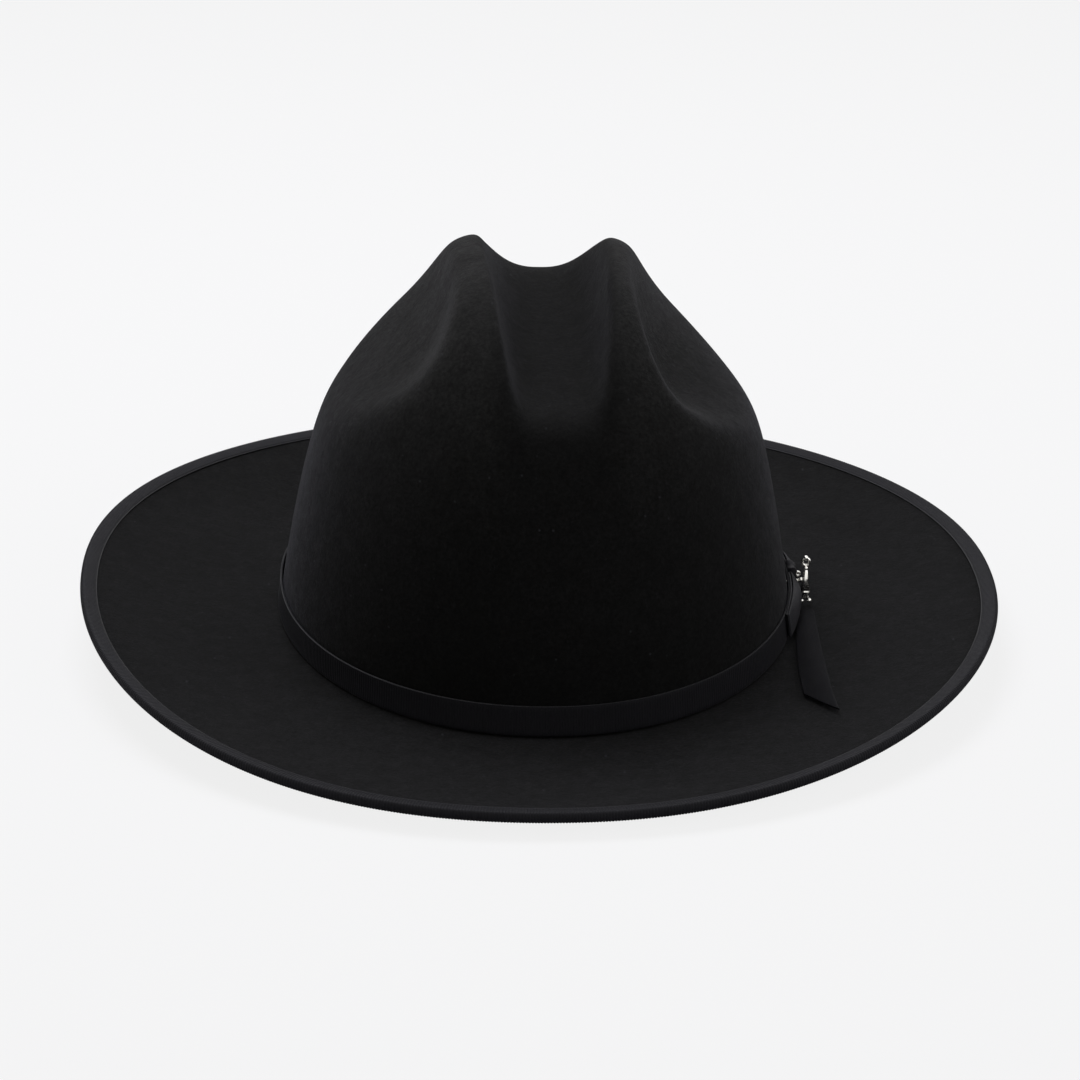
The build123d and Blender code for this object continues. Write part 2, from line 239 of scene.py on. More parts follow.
# Mesh from a grid of points: rows down, columns round. Poles are single points.
def gridMesh(name, grid, roundColumns=True, roundRows=False, poles=(None, None), flip=False):
    rows, columns = grid.shape[:2]
    points = [grid.reshape(-1, 3)]
    index = np.arange(rows * columns).reshape(rows, columns)
    if roundColumns:
        index = np.concatenate([index, index[:, :1]], 1)
    if roundRows:
        index = np.concatenate([index, index[:1]], 0)
    faces = gridQuads(index)
    count = rows * columns
    for pole, row in zip(poles, (index[0], index[-1][::-1])):
        if pole is None:
            continue
        points.append(np.array(pole, float).reshape(1, 3))
        faces += [[int(a), count, int(b)] for a, b in zip(row[:-1], row[1:])]
        count += 1
    return meshPiece(name, points, faces, flip)


# A closed skin whose rows go round its section
def tube(name, rows):
    return gridMesh(name, np.stack(rows, 0), roundRows=True)


# One mesh from many small round grids with closed ends, such as stitches
def joinGrids(name, grids):
    points, faces, start = [], [], 0
    for grid in grids:
        rows, columns = grid.shape[:2]
        index = np.arange(rows * columns).reshape(rows, columns) + start
        first, last = index[0].tolist(), index[-1].tolist()
        faces += gridQuads(np.concatenate([index, index[:, :1]], 1))
        faces += [first[::-1], last]
        points.append(grid.reshape(-1, 3))
        start += rows * columns
    return meshPiece(name, points, faces)


# Closes the two open ends of a strip of grid
def capEnds(piece, grid):
    rows, columns = grid.shape[:2]
    shape = bmesh.new()
    shape.from_mesh(piece.data)
    shape.verts.ensure_lookup_table()
    for column in (0, columns - 1):
        shape.faces.new([shape.verts[row * columns + column] for row in range(rows)])
    bmesh.ops.recalc_face_normals(shape, faces=shape.faces)
    shape.to_mesh(piece.data)
    shape.free()
    piece.data.polygons.foreach_set("use_smooth", [True] * len(piece.data.polygons))


def place(piece, body, slot, material, *nodes):
    piece.data.materials.append(material)
    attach(piece, body)
    if nodes:
        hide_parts(*nodes)
    return piece


def stations(count):
    return np.arange(count) / count * 2 * halfTurn


# Materials
class Finish:
    # A material made of named nodes, linked one after another
    def __init__(self, name, colour, rough, **sockets):
        self.material = bpy.data.materials.new(name)
        self.material.use_nodes = True
        self.nodes = self.material.node_tree.nodes
        self.links = self.material.node_tree.links
        self.shader = self.nodes["Principled BSDF"]
        self.shader.inputs["Base Color"].default_value = (*colour, 1)
        self.shader.inputs["Roughness"].default_value = rough
        for label, value in sockets.items():
            self.shader.inputs[label.replace("_", " ")].default_value = value
        self.where = self.nodes.new("ShaderNodeTexCoord").outputs["Object"]

    def pattern(self, kind, scale, stretch):
        spread = self.nodes.new("ShaderNodeMapping")
        spread.inputs["Scale"].default_value = stretch
        self.links.new(self.where, spread.inputs["Vector"])
        texture = self.nodes.new(kind)
        texture.inputs["Scale"].default_value = scale
        self.links.new(spread.outputs["Vector"], texture.inputs["Vector"])
        return texture

    def noise(self, scale, detail=2.0, rough=0.5, stretch=(1, 1, 1)):
        texture = self.pattern("ShaderNodeTexNoise", scale, stretch)
        texture.inputs["Detail"].default_value = detail
        texture.inputs["Roughness"].default_value = rough
        return texture.outputs["Fac"]

    def cells(self, scale, feature="F1", stretch=(1, 1, 1)):
        texture = self.pattern("ShaderNodeTexVoronoi", scale, stretch)
        texture.feature = feature
        return texture.outputs["Distance"]

    def ramp(self, source, *stops):
        scale = self.nodes.new("ShaderNodeValToRGB")
        band = scale.color_ramp
        for step, (at, colour) in enumerate(stops):
            stop = band.elements[step] if step < 2 else band.elements.new(at)
            stop.position = at
            value = colour if isinstance(colour, tuple) else (colour,) * 3
            stop.color = (*value, 1)
        self.links.new(source, scale.inputs["Fac"])
        return scale.outputs["Color"]

    # Grows from one value to another with the distance from the middle along an axis
    def byPlace(self, axis, middle, low, high, before, after):
        parts = self.nodes.new("ShaderNodeSeparateXYZ")
        self.links.new(self.where, parts.inputs[0])
        away = self.maths("ABSOLUTE", self.maths("SUBTRACT", parts.outputs[axis], middle), 0)
        scale = self.nodes.new("ShaderNodeMapRange")
        scale.interpolation_type = "SMOOTHSTEP"
        for label, value in zip(("From Min", "From Max", "To Min", "To Max"), (low, high, before, after)):
            scale.inputs[label].default_value = value
        self.links.new(away, scale.inputs["Value"])
        return scale.outputs["Result"]

    def maths(self, how, a, b):
        node = self.nodes.new("ShaderNodeMath")
        node.operation = how
        for slot, value in zip(node.inputs, (a, b)):
            if isinstance(value, (int, float)):
                slot.default_value = value
            else:
                self.links.new(value, slot)
        return node.outputs[0]

    def mix(self, share, a, b, how="MIX"):
        node = self.nodes.new("ShaderNodeMix")
        node.data_type = "RGBA"
        node.blend_type = how
        for slot, value in ((node.inputs["Factor"], share), (node.inputs[6], a), (node.inputs[7], b)):
            if isinstance(value, (int, float)):
                slot.default_value = value
            elif isinstance(value, tuple):
                slot.default_value = (*value, 1)
            else:
                self.links.new(value, slot)
        return node.outputs[2]

    def bump(self, height, depth, strength=1.0):
        node = self.nodes.new("ShaderNodeBump")
        node.inputs["Strength"].default_value = strength
        node.inputs["Distance"].default_value = depth
        self.links.new(height, node.inputs["Height"])
        before = self.shader.inputs["Normal"]
        if before.is_linked:
            self.links.new(before.links[0].from_socket, node.inputs["Normal"])
        self.links.new(node.outputs["Normal"], before)

    def colour(self, source):
        self.links.new(source, self.shader.inputs["Base Color"])

    def rough(self, source):
        self.links.new(source, self.shader.inputs["Roughness"])


def makeFelt():
    felt = Finish("blackFelt", (0.0066, 0.0064, 0.0060), 0.94, Sheen_Weight=0.11, Sheen_Roughness=0.38,
                  Sheen_Tint=(0.92, 0.91, 1.0, 1.0), Specular_IOR_Level=0.08)
    cloud = felt.noise(24, 3, 0.6)
    mottle = felt.noise(190, 3, 0.7)
    nap = felt.noise(720, 4, 0.8)
    grain = felt.noise(1700, 2, 0.7)
    fibre = felt.noise(520, 4, 0.75, (1, 0.45, 0.6))
    tone = felt.ramp(mottle, (0.30, (0.0056, 0.0055, 0.0049)), (0.72, (0.0118, 0.0116, 0.0107)))
    broad = felt.ramp(cloud, (0.28, (0.0066, 0.0065, 0.0060)), (0.74, (0.0122, 0.0120, 0.0114)))
    tone = felt.mix(0.4, tone, broad)
    fine = felt.ramp(nap, (0.35, 0.5), (0.68, 1.5))
    tone = felt.mix(1.0, tone, fine, "MULTIPLY")
    # painted highlight: the felt is made lighter up towards the ridges and peaks, while the centre crease is
    # left darker as painted shade
    high = felt.byPlace("Z", 0, 0.055, 0.13, 0, 1.9)
    aside = felt.byPlace("X", hatShape["creaseSide"] * mm, 0.013, 0.026, 0.1, 1)
    wearAndPaintedLight = felt.maths("ADD", felt.maths("MULTIPLY", high, aside), 1.0)
    tone = felt.mix(1.0, tone, wearAndPaintedLight, "MULTIPLY")
    # sparse pale lint and lighter fibres caught in the nap
    lint = felt.cells(200, stretch=(1, 0.4, 1))
    specks = felt.ramp(lint, (0.0, 1.0), (0.11, 0.0))
    patchy = felt.ramp(felt.noise(260, 1), (0.50, 0.0), (0.60, 1.0))
    hairs = felt.ramp(fibre, (0.60, 0.0), (0.76, 0.5))
    tone = felt.mix(hairs, tone, (0.026, 0.026, 0.026))
    felt.colour(felt.mix(felt.maths("MULTIPLY", specks, patchy), tone, (0.045, 0.045, 0.048)))
    # the nap catches light unevenly
    lay = felt.mix(0.5, felt.ramp(nap, (0.34, 0.02), (0.68, 0.15)),
                   felt.ramp(grain, (0.36, 0.03), (0.66, 0.14)))
    lay = felt.mix(0.4, lay, felt.ramp(mottle, (0.34, 0.03), (0.68, 0.125)))
    lay = felt.mix(1.0, lay, felt.byPlace("Z", 0, 0.06, 0.11, 1.0, 0.5), "MULTIPLY")
    felt.links.new(lay, felt.shader.inputs["Sheen Weight"])
    felt.rough(felt.ramp(nap, (0.3, 0.88), (0.7, 0.98)))
    felt.bump(grain, 0.00018, 0.7)
    felt.bump(nap, 0.00024, 0.65)
    felt.bump(fibre, 0.00015, 0.5)
    felt.bump(mottle, 0.0003, 0.4)
    return felt.material


def makeGrosgrain(name, shade, gloss):
    ribbon = Finish(name, (0.007, 0.0067, 0.0083), 0.62, Sheen_Weight=0.05 * gloss, Sheen_Roughness=0.35,
                    Specular_IOR_Level=0.15 * gloss)
    yarn = ribbon.noise(2600, 2, 0.6)
    wearAndPaintedLight = ribbon.noise(60, 3, 0.6)
    slub = ribbon.noise(420, 2, 0.6)
    tone = ribbon.ramp(wearAndPaintedLight, (0.3, (0.0058, 0.0055, 0.0070)), (0.75, (0.0105, 0.0100, 0.0122)))
    tone = ribbon.mix(ribbon.ramp(slub, (0.62, 0.0), (0.75, 0.5)), tone, (0.020, 0.019, 0.023))
    # shade scales the colour; the tail's and the bow loops' copies use it for painted shade and painted light
    ribbon.colour(ribbon.mix(1.0, tone, (shade, shade, shade), "MULTIPLY"))
    ribbon.rough(ribbon.ramp(yarn, (0.3, 0.52), (0.7, 0.74)))
    ribbon.bump(yarn, 0.00006, 0.6)
    return ribbon.material


def makeThread():
    # painted highlight: the thread is lighter than the black ribbon, so the selvage threads show as bright
    # edge lines; the sweatband stitches use it too
    thread = Finish("blackThreadPaintedHighlight", (0.012, 0.012, 0.0135), 0.55, Specular_IOR_Level=0.25)
    twist = thread.noise(3200, 2, 0.5)
    thread.colour(thread.ramp(twist, (0.35, (0.014, 0.014, 0.0155)), (0.7, (0.042, 0.042, 0.045))))
    thread.bump(twist, 0.00005, 0.7)
    return thread.material


def makeSilver():
    silver = Finish("oldSilver", (0.78, 0.75, 0.7), 0.22, Metallic=1.0)
    cast = silver.noise(900, 4, 0.6)
    dark = silver.noise(330, 3, 0.7)
    tone = silver.ramp(dark, (0.26, (0.06, 0.035, 0.022)), (0.38, (0.85, 0.83, 0.78)))
    silver.colour(tone)
    silver.rough(silver.ramp(cast, (0.3, 0.14), (0.8, 0.34)))
    silver.bump(cast, 0.00008, 0.5)
    return silver.material


def makeLeather():
    leather = Finish("blackLeather", (0.016, 0.0145, 0.013), 0.48, Specular_IOR_Level=0.4)
    pores = leather.cells(900)
    pebble = leather.cells(620, "SMOOTH_F1")
    wearAndPaintedLight = leather.noise(45, 4, 0.55)
    leather.colour(leather.ramp(wearAndPaintedLight, (0.3, (0.012, 0.011, 0.010)), (0.75, (0.024, 0.021, 0.018))))
    leather.rough(leather.ramp(wearAndPaintedLight, (0.3, 0.42), (0.8, 0.6)))
    leather.bump(pebble, 0.00012, 0.5)
    leather.bump(pores, 0.00006, 0.35)
    return leather.material


def makeSatin():
    satin = Finish("blackSatin", (0.015, 0.015, 0.017), 0.33, Specular_IOR_Level=0.5, Anisotropic=0.4,
                   Sheen_Weight=0.1)
    weave = satin.noise(2400, 2, 0.5, (1, 1, 0.15))
    soft = satin.noise(70, 3, 0.5)
    satin.colour(satin.ramp(soft, (0.3, (0.012, 0.012, 0.014)), (0.7, (0.02, 0.02, 0.023))))
    satin.rough(satin.ramp(weave, (0.3, 0.27), (0.7, 0.42)))
    satin.bump(weave, 0.00004, 0.5)
    return satin.material


def makeTape():
    tape = Finish("cottonTape", (0.016, 0.016, 0.017), 0.85, Sheen_Weight=0.1)
    weave = tape.noise(1900, 2, 0.6)
    tape.colour(tape.ramp(weave, (0.3, (0.011, 0.011, 0.012)), (0.7, (0.022, 0.022, 0.023))))
    tape.bump(weave, 0.0001, 0.8)
    return tape.material


def makeReed():
    reed = Finish("reedCore", (0.03, 0.03, 0.03), 0.5)
    drawn = reed.noise(500, 2, 0.5)
    reed.rough(reed.ramp(drawn, (0.3, 0.4), (0.7, 0.6)))
    return reed.material


feltCloth = makeFelt()
grosgrain = makeGrosgrain("blackGrosgrain", 0.9, 0.9)
# painted shade: a darker copy of the same ribbon for the tail lying face up on the brim
tailGrosgrainPaintedShade = makeGrosgrain("blackGrosgrainTailShaded", 0.55, 0.36)
# painted light: a lighter copy of the same ribbon for the bow's loops
bowGrosgrainPaintedLight = makeGrosgrain("blackGrosgrainBowLit", 1.3, 1.5)
thread = makeThread()
silverMetal = makeSilver()
leatherHide = makeLeather()
satinCloth = makeSatin()
tapeCloth = makeTape()
reedCore = makeReed()
print("hat: materials made")


# Felt: crown, brim and their inside as one pressed sheet
feltBody = {
    "columns": 480,
    "crownRows": 150,
    "insideRows": 84,
    "brimRows": 40,
    "footTurn": 0.7,  # radius of the turn from brim to crown
    "rimRound": 1.0,
    "waver": 0.32,  # how far hand shaping leaves the surface uneven
    "seed": 11,
}


def waver(angle, place, seed):
    made = np.random.default_rng(seed)
    total = np.zeros(np.broadcast(angle, place).shape)
    for _ in range(14):
        turns, rate = made.integers(1, 9), made.uniform(1.5, 9)
        total += np.sin(turns * angle + rate * place + made.uniform(0, 6.28)) / 14
    return total * 2


def makeFeltBody():
    f, h = feltBody, hatShape
    angle = stations(f["columns"])[None, :]
    turn = f["footTurn"]
    startLift = math.asin(turn / h["liftUnit"])

    def crownRows(inset, count):
        lift = np.linspace(halfTurn / 2, startLift, count + 1)[1:, None]
        grid = crownPoint(angle + 0 * lift, lift + 0 * angle, inset)
        outward = grid - np.array([0, 0, 0.05])
        outward /= np.linalg.norm(outward, axis=-1, keepdims=True)
        high = np.clip((lift - 0.25) / 0.3, 0, 1) * np.clip((halfTurn / 2 - lift) / 0.35, 0, 1)
        return grid + outward * (waver(angle, lift, f["seed"]) * high * f["waver"] * mm)[..., None]

    def brimRows(over, count):
        first = turn / brimWidth
        last = 1 - f["rimRound"] / brimWidth
        reach = np.linspace(first, last, count)[:, None]
        grid = brimPoint(angle + 0 * reach, reach + 0 * angle, over)
        free = np.clip(reach / 0.15, 0, 1) * np.clip((1 - reach) / 0.12, 0, 1)
        grid[..., 2] += waver(angle, 1.1 * reach, f["seed"] + 1) * free * f["waver"] * mm
        return grid

    def footRows(wall, brim, inset, over):
        corner = brimPoint(angle, 0 * angle, over)
        if inset:
            corner[..., :2] = wallPoint(angle, 0 * angle, inset)[..., :2]
        share = np.linspace(0, 1, 5)[1:-1, None, None]
        return wall * (1 - share) ** 2 + corner * 2 * share * (1 - share) + brim * share**2

    def rimRows():
        steps = np.linspace(halfTurn / 2, -halfTurn / 2, 9)[1:-1, None]
        half = h["feltThick"] / 2
        return rimPoint(
            angle + 0 * steps, f["rimRound"] * (1 - np.cos(steps)) + 0 * angle,
            half * np.sin(steps) - half + 0 * angle,
        )

    outside, upper = crownRows(0, f["crownRows"]), brimRows(0, f["brimRows"])
    inside = crownRows(h["feltThick"], f["insideRows"])[::-1]
    under = brimRows(-h["feltThick"], f["brimRows"])[::-1]
    rows = [outside, footRows(outside[-1:], upper[:1], 0, 0), upper, rimRows(), under]
    rows += [footRows(inside[:1], under[-1:], h["feltThick"], -h["feltThick"])[::-1], inside]
    grid = np.concatenate(rows, 0)
    poles = (crownPoint(*crownTop, 0), crownPoint(*crownTop, h["feltThick"]))
    piece = gridMesh("feltHatBody", grid, poles=poles, flip=True)
    return place(piece, "hat", "black_felt", feltCloth, "felt_body")


makeFeltBody()
print("hat: felt body made")


# A ribbed ribbon: columns run along it, rows go round its section.
# route(along, across, out) gives the point, each as an array; along goes 0 to 1.
def ribDip(along, ribs, depth):
    wave = abs(np.cos(halfTurn * ribs * along))
    return depth * (wave**0.7 - 1)


ribbonStuff = {
    "ribPitch": 1.0,
    "ribDepth": 0.22,
    "perRib": 4,
    "edgeRound": 0.30,
}


def ribbonMesh(name, route, length, width, thick, closed=False, across=7):
    r = ribbonStuff
    ribs = max(int(round(length / r["ribPitch"])), 1)
    count = ribs * r["perRib"]
    along = np.arange(count if closed else count + 1) / count
    side = np.linspace(-1, 1, across)
    face = np.sign(side) * abs(side) ** 0.75 * (width / 2 - r["edgeRound"])
    section = [(v, 1) for v in face]
    section += [(width / 2, 0.5), (width / 2, -0.5)] + [(v, -1) for v in face[::-1]]
    section += [(-width / 2, -0.5), (-width / 2, 0.5)]
    rows = []
    for v, level in section:
        flat = min(max((width / 2 - abs(v)) / 0.5, 0), 1)  # the selvage has no ribs
        dip = ribDip(along, ribs, r["ribDepth"]) * flat
        out = (thick / 2 + dip) * level if abs(level) == 1 else (thick / 2 + 0.05) * level
        rows.append(route(along, np.full_like(along, v), out))
    grid = np.stack(rows, 0)
    piece = gridMesh(name, grid, roundColumns=closed, roundRows=True)
    if not closed:
        capEnds(piece, grid)
    return piece


bindingSizes = {
    "width": 4.8,
    "thick": 0.5,
    "gap": 0.12,
    "ribPitch": 1.0,
    "cord": 0.24,
    "outerTurn": 0.6,  # how far in the fold's rounding starts, on its outer and inner side
    "innerTurn": 0.4,
    "settle": 0.22,  # how uneven the sewn edge is
    "swell": 0.35,
}


def makeBinding():
    b, r, h = bindingSizes, ribbonStuff, hatShape
    length = 2 * halfTurn * math.sqrt((h["brimHalfWide"] ** 2 + h["brimHalfLong"] ** 2) / 2)
    ribs = int(round(length / b["ribPitch"]))
    count = ribs * r["perRib"]
    angle = stations(count)
    fold = b["gap"] + b["thick"]
    half = h["feltThick"] / 2
    outer, inner = b["outerTurn"], b["innerTurn"]
    section = []
    # outer side of the fold: over the brim, round the rim, under the brim
    for inward in np.linspace(b["width"], outer, 6):
        section.append((inward, fold, 1))
    for step in np.linspace(halfTurn / 2, -halfTurn / 2, 9)[1:-1]:
        section.append((outer - (outer + fold) * math.cos(step), -half + (half + fold) * math.sin(step), 1))
    for inward in np.linspace(outer, b["width"], 6):
        section.append((inward, -h["feltThick"] - fold, 1))
    # inner side, against the felt
    for inward in np.linspace(b["width"], inner, 4):
        section.append((inward, -h["feltThick"] - b["gap"], 0))
    for step in np.linspace(-halfTurn / 2, halfTurn / 2, 5)[1:-1]:
        section.append((inner - (inner + b["gap"]) * math.cos(step),
                        -half + (half + b["gap"]) * math.sin(step), 0))
    for inward in np.linspace(inner, b["width"], 4):
        section.append((inward, b["gap"], 0))
    rows = []
    wave = ribDip(angle / (2 * halfTurn), ribs, r["ribDepth"])
    settle = b["settle"] * waver(angle, np.zeros(1), 5)
    for inward, over, ribbed in section:
        edge = min(max((b["width"] - inward) / 0.7, 0), 1)
        dip = wave * ribbed * edge
        sign = 1 if over > -half else -1
        reachIn = inward + settle * (1 if inward > 3 else 0)
        bulge = b["swell"] * ribbed * math.sin(min(max(inward, 0), b["width"]) / b["width"] * halfTurn)
        reachIn = reachIn - (dip if inward < 0.3 else 0)
        rows.append(rimPoint(angle, reachIn, over + sign * (dip + bulge * 0.5)))
    piece = tube("brimBindingRibbon", rows)
    place(piece, "hat", "black_grosgrain", grosgrain, "brim_binding")
    # the selvage's outer thread, on the brim's upper face; its lighter thread is a painted highlight along
    # the binding's inner edge
    edge = b["width"] + settle
    rows = [rimPoint(angle, edge + b["cord"] * math.cos(t), b["gap"] + b["cord"] * (1 + math.sin(t)))
            for t in stations(8)]
    cord = tube("bindingSelvageThread", rows)
    place(cord, "hat", "black_grosgrain", thread)


makeBinding()
print("hat: binding made")

bandSizes = {"width": 9.8, "thick": 0.7, "gap": 0.15, "up": 0.8, "loose": 0.9, "cord": 0.2}


def makeBand():
    b, h = bandSizes, hatShape
    length = 2 * halfTurn * math.sqrt((h["crownHalfWide"] ** 2 + h["crownHalfLong"] ** 2) / 2)
    middle = b["up"] + b["width"] / 2

    def route(along, across, out):
        angle = along * 2 * halfTurn
        # the lower edge hugs the brim, the upper edge stands off a little, most at the left front
        loose = 0.25 + b["loose"] * np.exp(-(((angle / halfTurn - 1.22) / 0.16) ** 2))
        lean = loose * np.clip(across / b["width"] + 0.5, 0, 1) ** 1.6
        return wallPoint(angle, middle + across, -(b["gap"] + b["thick"] / 2 + out + lean))

    piece = ribbonMesh("hatBandRibbon", route, length, b["width"], b["thick"], closed=True)
    place(piece, "hat", "black_grosgrain", grosgrain, "hat_band")
    # the upper selvage's outer thread, lighter than the ribbon as a painted highlight along the band's edge
    along = np.arange(720) / 720
    edge = b["width"] / 2
    # plainest at the left front, where the band stands off
    size = b["cord"] * (0.35 + 0.65 * np.exp(-(((along - 0.64) / 0.1) ** 2)))
    rows = [route(along, edge + size * math.sin(t), b["thick"] / 2 + size * math.cos(t)) for t in stations(8)]
    cord = tube("bandSelvageThread", rows)
    place(cord, "hat", "black_grosgrain", thread)


makeBand()
print("hat: band made")

# Bow: flat loops either side of a knot, on the wearer's left
bowSizes = {
    "gap": 0.3,
    "up": 0.6,
    "knotY": 3.0,
    "knotWide": 8.0,
    "knotThick": 3.3,
    "knotOver": 0.6,
    "frontLong": 36.0,
    "frontBulge": 3.5,
    "rearLong": 13.0,
    "rearBulge": 3.4,
    "ribbonThick": 0.6,
    "press": 0.92,
    "seat": 0.06,  # between the wall and a loop's back
    "foldOut": 0.45,
    "grip": 2.5,  # how far from the knot its grip still narrows a loop
    "knotBend": 1.1,
    "knotSeat": 0.12,
}

wallLean = math.atan(hatShape["crownTaper"] * hatShape["crownHalfWide"])
bandOut = bandSizes["gap"] + bandSizes["thick"]
bowMid = bandSizes["up"] + bandSizes["width"] / 2 + bowSizes["up"]
bowOrigin = wallPoint(np.array(0.0), np.array(bowMid), -bandOut - bowSizes["gap"]) / mm
bowOut = np.array([math.cos(wallLean), 0, math.sin(wallLean)])
bowUp = np.array([-math.sin(wallLean), 0, math.cos(wallLean)])
bowBack = np.array([0.0, 1.0, 0.0])


# Place beside the bow: back along the hat, up the wall and out from it, in millimetres
def besideBow(back, up, out):
    back, up, out = np.broadcast_arrays(
        np.asarray(back, float), np.asarray(up, float), np.asarray(out, float))
    spot = bowOrigin + back[..., None] * bowBack + up[..., None] * bowUp + out[..., None] * bowOut
    return spot * mm


def wallSag(along):
    h = hatShape
    share = (abs(along) / h["crownHalfLong"]) ** h["ovalPower"]
    return h["crownHalfWide"] * (1 - (1 - share) ** (1 / h["ovalPower"]))


# A loop: out from the knot along the wall, round its fold and back
def makeLoop(name, node, side, long, bulge):
    b = bowSizes
    start = b["knotY"] + side * (b["knotWide"] / 2 + b["gap"])
    thick = b["ribbonThick"]
    share = np.linspace(0, 1, 121)
    reach = start + side * (thick / 2 + (long - thick) * share)
    rest = thick / 2 + b["seat"] - wallSag(reach)
    front = rest + (bulge - thick) * np.sin(halfTurn * share**0.55) ** 0.8
    front[share > 0.9] = np.maximum(front, rest + 0.7)[share > 0.9]
    fold = np.linspace(-halfTurn / 2, halfTurn / 2, 9)[1:-1][::-1]
    tipBack = reach[-1] + side * b["foldOut"] * np.cos(fold)
    tipOut = (front[-1] + rest[-1]) / 2 + (front[-1] - rest[-1]) / 2 * np.sin(fold)
    pathBack = np.concatenate([reach, tipBack, reach[::-1]])
    pathOut = np.concatenate([front, tipOut, rest[::-1]])
    length = np.concatenate([[0], np.cumsum(np.hypot(np.diff(pathBack), np.diff(pathOut)))])

    step = 0.25  # half of the stretch over which the run is measured

    def route(along, across, offset):
        at = along * length[-1]
        back, out = np.interp(at, length, pathBack), np.interp(at, length, pathOut)
        # the loop's long edges are pressed together, the upper one most
        flat = thick / 2 + b["seat"] - wallSag(back)
        edge = across / bandSizes["width"] * 2
        pressed = b["press"] * abs(edge) ** 2.2 * np.where(edge > 0, 1.0, 0.85)
        out = out - np.maximum(out - flat - 0.62, 0) * pressed
        runBack = np.interp(at + step, length, pathBack) - np.interp(at - step, length, pathBack)
        runOut = np.interp(at + step, length, pathOut) - np.interp(at - step, length, pathOut)
        size = np.hypot(runBack, runOut) + 1e-9
        # the ribbon is a little narrower where the knot grips it
        grip = 1 - 0.10 * np.exp(-np.minimum(at, length[-1] - at) / b["grip"])
        grip = grip - 0.16 * np.exp(-(((at / length[-1] - 0.5) / 0.08) ** 2))
        return besideBow(back - runOut / size * offset, across * grip, out + runBack / size * offset * side)

    piece = ribbonMesh(name, route, length[-1], bandSizes["width"], thick)
    return place(piece, "hat", "black_grosgrain", bowGrosgrainPaintedLight, node)


makeLoop("bowLoopFront", "bow_loop_front", -1, bowSizes["frontLong"], bowSizes["frontBulge"])
makeLoop("bowLoopRear", "bow_loop_rear", 1, bowSizes["rearLong"], bowSizes["rearBulge"])


def makeKnot():
    b = bowSizes
    halfUp = bandSizes["width"] / 2 + b["knotOver"]
    bend, seat = b["knotBend"], b["knotSeat"]
    corners = []
    # section in the plane of up and out, rounded on its outer side
    for cornerUp, turnFrom in ((halfUp - bend, 0.0), (bend - halfUp, 0.25)):
        for step in range(8):
            turn = 2 * halfTurn * (turnFrom + step / 28)
            corners.append((cornerUp + bend * math.cos(turn), b["knotThick"] - bend + bend * math.sin(turn)))
    corners += [(-halfUp, seat), (halfUp, seat)]
    across = np.linspace(-1, 1, 49)
    rows = []
    for up, out in corners:
        outer = min(max((out - seat) / 1.5, 0), 1)
        pinch = 1 - 0.07 * np.cos(across * halfTurn / 2) ** 2
        crease = 0.30 * (np.sin(across * 5 + 0.4) - 0.7) * outer
        ribs = 0.14 * (abs(np.cos(across * halfTurn * 4)) ** 0.7 - 1) * outer
        swell = -0.5 * abs(across) ** 6 * outer
        back = b["knotY"] + across * b["knotWide"] / 2
        rows.append(besideBow(back, up * pinch, out + crease + ribs + swell))
    grid = np.stack(rows, 0)
    piece = gridMesh("bowKnot", grid, roundColumns=False, roundRows=True)
    capEnds(piece, grid)
    return place(piece, "hat", "black_grosgrain", grosgrain, "bow_knot")


makeKnot()

# Tail: the ribbon's free end, laid forwards on the brim
tailSizes = {
    "rootY": -12.2,
    "rootOut": 1.1,
    "rootWide": 5.4,
    "endY": -83.0,
    "endIn": 4.6,
    "endWide": 9.3,
    "slant": 19.0,
    "lift": 0.25,
    "rise": 0.8,
    "thick": 0.6,
    "cut": (0.010, 0.082),
}


def makeTail():
    t, h = tailSizes, hatShape
    width = bandSizes["width"]
    rootIn, endIn = h["crownHalfWide"] + t["rootOut"], h["crownHalfWide"] - t["endIn"]

    def edge(share, outer):
        fromX, toX = rootIn + outer * t["rootWide"], endIn + outer * t["endWide"]
        x = toX + (fromX - toX) * (1 - share) ** 2
        y = t["rootY"] + (t["endY"] - outer * t["slant"] - t["rootY"]) * share
        z = brimOver(x, y) + t["lift"] + t["rise"] * share**2
        return np.stack([x, y, z], -1)

    def route(along, across, out):
        inner, outer = edge(along, 0), edge(along, 1)
        share = (across / width + 0.5)[:, None]
        # a shallow arch across, and the cut end curls up at its outer corner
        arch = 0.45 * np.sin(share * halfTurn) * np.sin(along * halfTurn)[:, None]
        curl = 0.9 * (share * np.clip((along[:, None] - 0.8) / 0.2, 0, 1)) ** 2
        spot = inner * (1 - share) + outer * share
        spot[:, 2] += t["thick"] / 2 + out + (arch + curl)[:, 0]
        return spot * mm

    length = math.hypot(t["endY"] - t["slant"] / 2 - t["rootY"], 6)
    piece = ribbonMesh("bowTailRibbon", route, length, width, t["thick"], across=13)
    return place(piece, "hat", "black_grosgrain", tailGrosgrainPaintedShade, "bow_tail")


makeTail()
print("hat: bow made")

